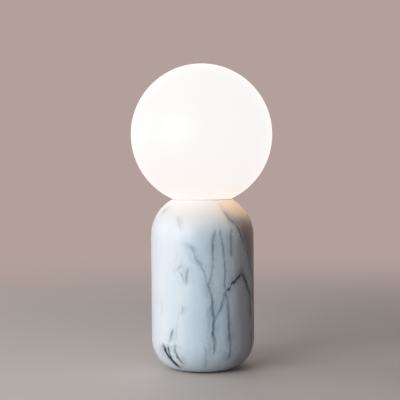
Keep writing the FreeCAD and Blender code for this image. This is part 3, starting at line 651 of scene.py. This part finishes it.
# where each of them starts and ends, round the body or up it, in mm
fades = {
    "sides": (62, 92), "hairTop": (152, 128), "cloudLeft": (-36, -8), "cloudTop": (154, 124),
    "wedgeLeft": (28, 46), "wedgeRight": (96, 66), "wedgeFoot": (70, 118), "wedgeTop": (158, 140),
    "crown": (136, 160), "paintedGlowLeft": (7, 34), "paintedGlowRight": (110, 76), "paintedShadeLilacLeft": (26, 44),
    "paintedShadeLilacRight": (104, 80),
}
shadeEdge = [(20, 166), (31.4, 148.6), (44.8, 129.8), (55.9, 107.6), (75, 60)]  # left edge of the umber wedge


# the glaze colour holds painted light too: a cream top and a honey patch for the globe's glow, a lilac tint and
# part of the umber for shade on the right side, and a dark line for the right edge's reflection
def marbleGlaze():
    glaze = Finish("marbleGlaze", IOR=1.5, Specular_IOR_Level=0.36)
    x, y, z = glaze.axes(glaze.place)
    frontRound = glaze.maths("ARCTAN2", x, 0 - y) * bodySizes["radius"]
    rearRound = glaze.maths("ARCTAN2", 0 - x, y) * bodySizes["radius"]
    height = z * 1000
    jitter = (glaze.noise(260, detail=4, rough=0.6, shift=(3, 1, 2)) - 0.5) * 2.6
    sway = (glaze.noise(48, detail=3) - 0.5) * 5 + jitter
    lean = (glaze.noise(52, detail=3, shift=(7, 4, 1)) - 0.5) * 5 + jitter
    grain = glaze.noise(620, detail=3, rough=0.6, shift=(4, 4, 1))
    pulse = 0.12 + glaze.noise(110, detail=3, rough=0.6, shift=(2, 9, 5)) * 1.1 + grain * 0.6
    press = glaze.noise(75, stretch=(1, 1, 0.4), detail=3, rough=0.6, shift=(9, 2, 4))
    press = 0.40 + glaze.smooth(press, 0.36, 0.62) * 0.60
    streak = glaze.noise(120, stretch=(1, 1, 0.10), detail=3, warp=0.3)
    broad = glaze.noise(34, stretch=(1, 1, 0.35), detail=3, warp=0.5, shift=(5, 5, 0))
    fine = glaze.noise(42, stretch=(1, 1, 0.32), detail=5, rough=0.55, warp=0.7, shift=(1, 8, 3))

    def strand(points, width, ink, haze, along, across, upright):
        # one line: along runs with it, up or round the body, and across is measured from it
        up, around = (0, 180), (-100, 200)
        (start, reach), (base, breadth) = (up, around) if upright else (around, up)
        points = sorted((b, a) if upright else (a, b) for a, b in points)
        spots = [((a - start) / reach, (b - base) / breadth) for a, b in points]
        line = glaze.node("ShaderNodeFloatCurve", {"points": spots}, Value=(along - start) / reach)
        gap = glaze.maths("ABSOLUTE", across - base - line * breadth) * pulse
        low, high = points[0][0], points[-1][0]
        ends = glaze.smooth(along, low - 1, low + 6) * glaze.smooth(along, high + 1, high - 6)
        core = glaze.smooth(gap, width * 1.5, 0) * ends * ink
        halo = glaze.smooth(gap, width * 6.5, 0) * ends * haze
        return core, halo

    ways = {
        "frontUp": (height + lean * 0.3, frontRound + sway, True),
        "frontAcross": (frontRound + sway * 0.4, height + lean, False),
        "rearUp": (height + lean * 0.3, rearRound + sway * 1.6, True),
        "rearAcross": (rearRound + sway * 0.4, height + lean * 1.3, False),
    }
    ink = haze = 0.0
    for group, way in ways.items():
        for line in veins[group]:
            core, halo = strand(*line, *way)
            ink = glaze.maths("MAXIMUM", ink, core)
            haze = glaze.maths("MAXIMUM", haze, halo)

    sides = glaze.smooth(glaze.maths("ABSOLUTE", frontRound), *fades["sides"])
    hair = glaze.smooth(glaze.maths("ABSOLUTE", fine - 0.5), 0.030, 0.0) * glaze.smooth(broad, 0.42, 0.6)
    hair = hair * (0.14 + sides * 0.34 + haze * 0.7) * glaze.smooth(height, *fades["hairTop"])
    cloud = glaze.smooth(frontRound + (broad - 0.5) * 44, *fades["cloudLeft"])
    cloud = cloud * glaze.smooth(height + (broad - 0.5) * 50, *fades["cloudTop"])
    cloud = cloud * 0.66 * (1 - sides) + sides * glaze.smooth(broad, 0.40, 0.64) * 0.62
    cloud = glaze.maths("MAXIMUM", cloud + (streak - 0.5) * 0.8, 0)
    slope = [((a + 100) / 200, b / 180) for a, b in shadeEdge]
    edge = glaze.node("ShaderNodeFloatCurve", {"points": slope}, Value=(frontRound + sway + 100) / 200)
    # partly painted shade: the umber wedge on the upper right is partly the stone's brown and partly shade on
    # the side turned from the key light
    umberShadeMask = glaze.smooth(height + lean - edge * 180, -2, 12) * glaze.smooth(frontRound, *fades["wedgeLeft"])
    umberShadeMask = umberShadeMask * glaze.smooth(frontRound + (broad - 0.5) * 40, *fades["wedgeRight"])
    umberShadeMask = umberShadeMask * glaze.smooth(height, *fades["wedgeFoot"])
    umberShadeMask = umberShadeMask * glaze.smooth(height + (broad - 0.5) * 12, *fades["wedgeTop"])
    # painted light: the top of the body is blended to cream, standing for the lit globe's glow on the shoulder
    crown = glaze.smooth(height + (broad - 0.5) * 26, *fades["crown"])
    # painted light: a honey patch on the right of the top, standing for the globe's warm glow there
    paintedGlow = glaze.smooth(frontRound + (broad - 0.5) * 24, *fades["paintedGlowLeft"])
    paintedGlow = paintedGlow * glaze.smooth(frontRound, *fades["paintedGlowRight"])
    colour = glaze.blend(cloud, marble["milk"], marble["blue"])
    # painted shade: the right side is tinted grey lilac, where the body turns away from the key light
    paintedShadeLilac = glaze.smooth(frontRound + (streak - 0.5) * 30, *fades["paintedShadeLilacLeft"])
    paintedShadeLilac = paintedShadeLilac * glaze.smooth(frontRound, *fades["paintedShadeLilacRight"])
    colour = glaze.blend(paintedShadeLilac * 0.7, colour, marble["paintedShadeLilac"])
    colour = glaze.blend(crown * 0.9, colour, marble["paintedGlowCream"])
    colour = glaze.blend(crown * paintedGlow * 0.9, colour, marble["paintedGlowHoney"])
    colour = glaze.blend(umberShadeMask * (0.30 + broad * 0.8), colour, marble["umber"])
    smudge = glaze.smooth(glaze.noise(85, stretch=(1, 1, 0.6), detail=3, warp=0.8, shift=(6, 1, 9)), 0.36, 0.66)
    colour = glaze.blend(haze * (streak * 0.5 + smudge * 0.75), colour, marble["slate"])
    colour = glaze.blend(hair, colour, marble["slate"])
    ink = ink * press
    colour = glaze.blend(ink, colour, marble["vein"])
    colour = glaze.blend(glaze.smooth(ink, 0.62, 1.25), colour, marble["ink"])
    glaze.bump(glaze.noise(180, detail=2) + ink * -0.4, 0.00003)
    return glaze.to(Base_Color=colour, Roughness=0.34 + (broad - 0.5) * 0.12 + ink * 0.06)


def drilled(mesh, radius, start, end, axis, level):
    # a round hole outwards from the lamp's axis, along X or Y
    tool = bpy.data.meshes.new("drill")
    made = bmesh.new()
    bmesh.ops.create_cone(made, cap_ends=True, segments=64, radius1=radius * mm, radius2=radius * mm,
                          depth=(end - start) * mm)
    turn, along = ("Y", (1, 0, 0)) if axis == "X" else ("X", (0, 1, 0))
    bmesh.ops.rotate(made, verts=made.verts, matrix=Matrix.Rotation(math.radians(90), 3, turn))
    bmesh.ops.translate(made, verts=made.verts,
                        vec=Vector(along) * (start + end) / 2 * mm + Vector((0, 0, level * mm)))
    made.to_mesh(tool)
    made.free()
    return boolean(mesh, tool, "DIFFERENCE")


bodyMesh = turned(bodyOutline(), marbleGlaze(), segments=224)
bodyMesh = drilled(bodyMesh, bodySizes["inletHole"], 20, 80, "Y", bodySizes["inletLevel"])
place("marbledBody", bodyMesh, "base", "ceramic_body")


# seat ring between body and globe, and the foam pad under the foot
seatSizes = {"inner": 27.5, "well": 28.4, "outer": 29.7, "depth": 6.0, "land": 70.9, "seat": 70.3}


def seatOutline():
    s = seatSizes
    centre = globeSizes["centre"]
    turns = [-math.degrees(math.acos(radius / sphere)) for radius, sphere in (
        (s["well"], s["land"]), (s["outer"], s["land"]), (s["outer"], s["seat"]), (s["inner"], s["seat"]))]
    foot = centre - math.sqrt(s["land"] ** 2 - s["well"] ** 2) - s["depth"]
    return (
        [(s["inner"] + 0.2, foot), (s["well"] - 0.2, foot), (s["well"], foot + 0.2)]
        + arc((0, centre), s["land"], turns[0], turns[1], 4)
        + arc((0, centre), s["seat"], turns[2], turns[3], 6)
        + [(s["inner"], foot + 0.2)]
    )


place("seatRing", turned(seatOutline(), seatSilicone, segments=160), "base", "seat_ring")

padSizes = {"radius": 25.19, "thickness": 1.2, "edge": 0.3}
thick = padSizes["thickness"]
edgeStart = padSizes["radius"] - padSizes["edge"]
outline = [(0, 0), (edgeStart, 0)] + arc((edgeStart, thick / 2), padSizes["edge"], -90, 90, 6)
outline = [(radius, min(max(height, 0), thick)) for radius, height in outline]
outline += [(edgeStart, thick), (0, thick)]
place("footPad", turned(outline, footFoam, closed=False, segments=128), "base", "foot_pad")


# fixings on the stem: chamfered nuts, toothed washers and the rivets of the leaf springs
def moved(mesh, **way):
    copy = mesh.copy()
    copy.transform(Matrix.Translation([way.get(axis, 0) * mm for axis in "xyz"]))
    return copy


nutSizes = {"flats": 14.0, "height": 3.0, "bore": 5.1, "chamfer": 0.5, "levels": (2.4, 152.64)}


def nutMesh():
    n = nutSizes
    half = n["height"] / 2
    corner = n["flats"] / math.sqrt(3)
    blank = bpy.data.meshes.new("blank")
    made = bmesh.new()
    bmesh.ops.create_cone(made, cap_ends=True, segments=6, radius1=corner * mm, radius2=corner * mm,
                          depth=n["height"] * mm)
    bmesh.ops.rotate(made, verts=made.verts, matrix=Matrix.Rotation(math.radians(30), 3, "Z"))
    made.to_mesh(blank)
    made.free()
    blank.materials.append(zinc)
    outline = [
        (n["bore"] + n["chamfer"], -half - 0.01), (n["bore"], -half + n["chamfer"]),
        (n["bore"], half - n["chamfer"]), (n["bore"] + n["chamfer"], half + 0.01),
        (n["flats"] / 2 - 0.1, half + 0.01), (corner + 0.1, half - 0.65), (corner + 0.1, 0.65 - half),
        (n["flats"] / 2 - 0.1, -half - 0.01),
    ]
    return boolean(blank, turned(outline, zinc, segments=72), "INTERSECT")


nut = nutMesh()
nuts = [moved(nut, z=level + nutSizes["height"] / 2) for level in nutSizes["levels"]]
place("stemNuts", joined(nuts, zinc), "base", "stem_nuts")

starSizes = {"radius": 8.5, "ring": 6.7, "bore": 5.25, "thickness": 0.8, "teeth": 12, "twist": 14,
             "toothWidth": 1.5, "toothDepth": 0.42, "levels": (5.4, 151.84)}


def starMesh():
    s = starSizes
    ring = turned([(s["ring"], 0.15), (s["radius"] - 0.1, 0.15), (s["radius"], 0.25), (s["radius"], 0.55),
                   (s["radius"] - 0.1, 0.65), (s["ring"], 0.65)], zinc, segments=96)
    tooth = bpy.data.meshes.new("tooth")
    made = bmesh.new()
    bmesh.ops.create_cube(made, size=1.0)
    length = s["ring"] + 0.3 - s["bore"]
    bmesh.ops.scale(made, verts=made.verts, vec=(length * mm, s["toothWidth"] * mm, s["toothDepth"] * mm))
    bmesh.ops.rotate(made, verts=made.verts, matrix=Matrix.Rotation(math.radians(s["twist"]), 3, "X"))
    bmesh.ops.translate(made, verts=made.verts, vec=((s["bore"] + length / 2) * mm, 0, s["thickness"] / 2 * mm))
    made.to_mesh(tooth)
    made.free()
    source = bpy.data.objects.new("tooth", tooth)
    return joined([ring, run(source, ringOfCopies, zinc, Count=s["teeth"], Start=0.0)], zinc)


star = starMesh()
place("starWashers", joined([moved(star, z=level) for level in starSizes["levels"]], zinc),
      "base", "star_washers")

rivetSizes = {"at": 17.94, "shank": 1.4, "head": 2.3, "rise": 0.8, "tail": 0.7, "seat": 152.24,
              "under": 150.64, "count": 3}


def rivetMesh():
    r = rivetSizes
    dome = [(r["head"] * math.cos(turn), r["seat"] + 0.15 + (r["rise"] - 0.15) * math.sin(turn))
            for turn in (math.radians(15 * step) for step in range(7))]
    dome[-1] = (0, r["seat"] + r["rise"])
    low = r["under"] - r["tail"]
    outline = [(0, low), (1.3, low), (1.9, low + 0.15), (r["head"] - 0.05, r["under"] - 0.2),
               (r["head"] - 0.05, r["under"]), (r["shank"], r["under"]), (r["shank"], r["seat"]),
               (r["head"], r["seat"])]
    source = bpy.data.objects.new("rivet", moved(turned(outline + dome, rivetMetal, closed=False, segments=32),
                                                 x=r["at"]))
    return tidy(run(source, ringOfCopies, rivetMetal, Count=r["count"], Start=math.pi / 2), 40)


place("springRivets", rivetMesh(), "base", "spring_rivets")


# lampholder: cap with a neck, fluted skirt and rolled contact shell
holder = {"level": 156.64, "radius": 14.0, "bore": 12.3, "ledge": 11.1, "neck": 8.0, "neckHeight": 6.0,
          "flare": 5.0, "cap": 18.0, "sink": 3.0, "grip": 7.0, "floor": 1.6, "tube": 5.1, "tubeBore": 4.0,
          "grub": 1.52}
skirt = {"level": 174.64, "height": 31.0, "seat": 5.6, "sleeve": 7.8, "flutes": 40, "fluteDepth": 0.35,
         "flutesFrom": 3, "flutesTo": 20, "fluteReach": 13.5}
shell = {"level": 179.64, "bore": 7.2, "wall": 0.5, "flange": 0.6, "flangeRadius": 10.0, "height": 17.0,
         "pitch": 2.82, "depth": 0.42, "threadFrom": 187.6, "threadTo": 195.6}


def raised(outline, level):
    return [(radius, height + level) for radius, height in outline]


def holderCap():
    h = holder
    outline = [
        (h["tube"], 0), (h["neck"] - 0.4, 0), (h["neck"], 0.4), (h["neck"], h["neckHeight"] - 0.6),
        (h["neck"] + 0.35, h["neckHeight"] + 0.4), (h["radius"] - 0.5, h["neckHeight"] + h["flare"] - 0.5),
        (h["radius"], h["neckHeight"] + h["flare"] + 0.6), (h["radius"], h["cap"] - 0.3),
        (h["radius"] - 0.3, h["cap"]), (h["bore"], h["cap"]), (h["bore"], h["cap"] - h["sink"]),
        (h["ledge"], h["cap"] - h["sink"]), (h["ledge"], h["neckHeight"] + h["flare"]),
        (h["neck"], h["grip"] + h["floor"]), (h["tubeBore"], h["grip"] + h["floor"]),
        (h["tubeBore"], h["grip"]), (h["tube"], h["grip"]),
    ]
    return turned(raised(outline, h["level"]), holderPlastic, segments=112)


grubLevel = holder["level"] + holder["neckHeight"] / 2
capMesh = drilled(holderCap(), holder["grub"], 0, 12, "X", grubLevel)
place("holderCap", capMesh, "base", "holder_cap")

top = skirt["height"]
outline = [(holder["bore"], 0), (holder["radius"] - 0.3, 0), (holder["radius"], 0.3)]
outline += between((holder["radius"], 1.0), (holder["radius"], top - 1.4), 44)
outline += arc((holder["radius"] - 0.8, top - 0.8), 0.8, 0, 90, 6)
outline += [(holder["bore"] + 0.3, top), (holder["bore"], top - 0.3)]
ledgeTop = skirt["seat"] + holder["floor"]
outline += [(holder["bore"], ledgeTop), (skirt["sleeve"], ledgeTop), (skirt["sleeve"], skirt["seat"]),
            (holder["bore"], skirt["seat"])]
flutes = {"Pitch": 1000.0, "Starts": skirt["flutes"], "Depth": skirt["fluteDepth"] * mm,
          "From": (skirt["level"] + skirt["flutesFrom"]) * mm,
          "To": (skirt["level"] + skirt["flutesTo"]) * mm, "Reach": skirt["fluteReach"] * mm}
place("holderSkirt", turned(raised(outline, skirt["level"]), holderPlastic, segments=320, thread=flutes),
      "base", "holder_skirt")

rolled = {"Pitch": shell["pitch"] * mm, "Starts": 1}
outer = shell["bore"] + shell["wall"]
outline = [(shell["bore"], 0), (shell["flangeRadius"], 0), (shell["flangeRadius"], shell["flange"]),
           (outer, shell["flange"])]
outline += between((outer, shell["flange"] + 0.3), (outer, shell["height"]), 54)
outline += [(outer, shell["height"])]
outline += between((shell["bore"], shell["height"]), (shell["bore"], 0.3), 54)
place("contactShell", turned(raised(outline, shell["level"]), brass, segments=112, thread={
    **rolled, "Depth": shell["depth"] * mm, "From": shell["threadFrom"] * mm, "To": shell["threadTo"] * mm,
    "Reach": 0.0,
}), "base", "contact_shell")


# bulb: rolled screw cap, white housing and frosted dome
bulb = {"level": 181.74, "capRadius": 6.9, "capWall": 0.4, "capStart": 3.0, "capEnd": 18.5, "neck": 8.4,
        "spigot": 6.4, "spigotStart": 14.5, "wall": 1.4, "seam": 45.0, "ledge": 3.0, "radius": 22.5,
        "length": 78.0, "drop": 10.5, "threadDepth": 0.5, "threadFrom": 187.2, "threadTo": 195.9}
domeLight = {"top": (0.84, 0.79, 0.72), "bottom": (0.62, 0.56, 0.48), "from": 0.226, "to": 0.25}

inner = bulb["capRadius"] - bulb["capWall"]
outline = between((bulb["capRadius"], bulb["capStart"]), (bulb["capRadius"], bulb["capEnd"]), 60)
outline += [(bulb["capRadius"], bulb["capEnd"])]
outline += between((inner, bulb["capEnd"]), (inner, bulb["capStart"]), 60) + [(inner, bulb["capStart"])]
place("bulbScrewCap", turned(raised(outline, bulb["level"]), capMetal, segments=112, thread={
    **rolled, "Depth": bulb["threadDepth"] * mm, "From": bulb["threadFrom"] * mm,
    "To": bulb["threadTo"] * mm, "Reach": 0.0,
}), "bulb", "bulb_screw_cap")

seamRadius = math.sqrt(bulb["radius"] ** 2 - bulb["drop"] ** 2)
outline = [
    (bulb["spigot"] - bulb["wall"], bulb["spigotStart"]), (bulb["spigot"], bulb["spigotStart"]),
    (bulb["spigot"], bulb["capEnd"]), (bulb["neck"] - 0.3, bulb["capEnd"]),
    (bulb["neck"], bulb["capEnd"] + 0.3),
    (seamRadius - 0.3, bulb["seam"] - 0.9), (seamRadius - 0.3, bulb["seam"] - 0.5),
    (seamRadius, bulb["seam"] - 0.4), (seamRadius, bulb["seam"]),
    (seamRadius - bulb["ledge"], bulb["seam"]), (seamRadius - bulb["ledge"], bulb["seam"] - bulb["wall"]),
    (seamRadius - bulb["wall"], bulb["seam"] - bulb["wall"]),
    (bulb["neck"] - bulb["wall"], bulb["capEnd"] + bulb["wall"]),
    (bulb["spigot"] - bulb["wall"], bulb["capEnd"] + bulb["wall"]),
]
place("bulbHousing", turned(raised(outline, bulb["level"]), bulbPlastic, segments=128), "bulb", "bulb_housing")


def frostedDome():
    dome = Finish("frostedDome", Specular_IOR_Level=0.4, Emission_Strength=1.0)
    x, y, z = dome.axes(dome.place)
    rise = dome.smooth(z, domeLight["from"], domeLight["to"])
    lit = dome.blend(rise, domeLight["bottom"], domeLight["top"])
    grain = dome.noise(900, detail=2)
    dome.bump(grain, 0.00002)
    skin = dome.blend(grain, (0.17, 0.17, 0.165), (0.19, 0.19, 0.185))
    return dome.to(Base_Color=skin, Emission_Color=lit, Roughness=0.46 + grain * 0.1)


middle = (0, bulb["length"] - bulb["radius"])
low = -math.degrees(math.asin(bulb["drop"] / bulb["radius"]))
lowInside = -math.degrees(math.asin(bulb["drop"] / (bulb["radius"] - bulb["wall"])))
outline = arc(middle, bulb["radius"] - bulb["wall"], 90, lowInside, 36)
outline += arc(middle, bulb["radius"], low, 90, 44)
outline[0] = (0, outline[0][1])
outline[-1] = (0, outline[-1][1])
place("bulbDome", turned(raised(outline, bulb["level"]), frostedDome(), closed=False, segments=128),
      "bulb", "bulb_dome")
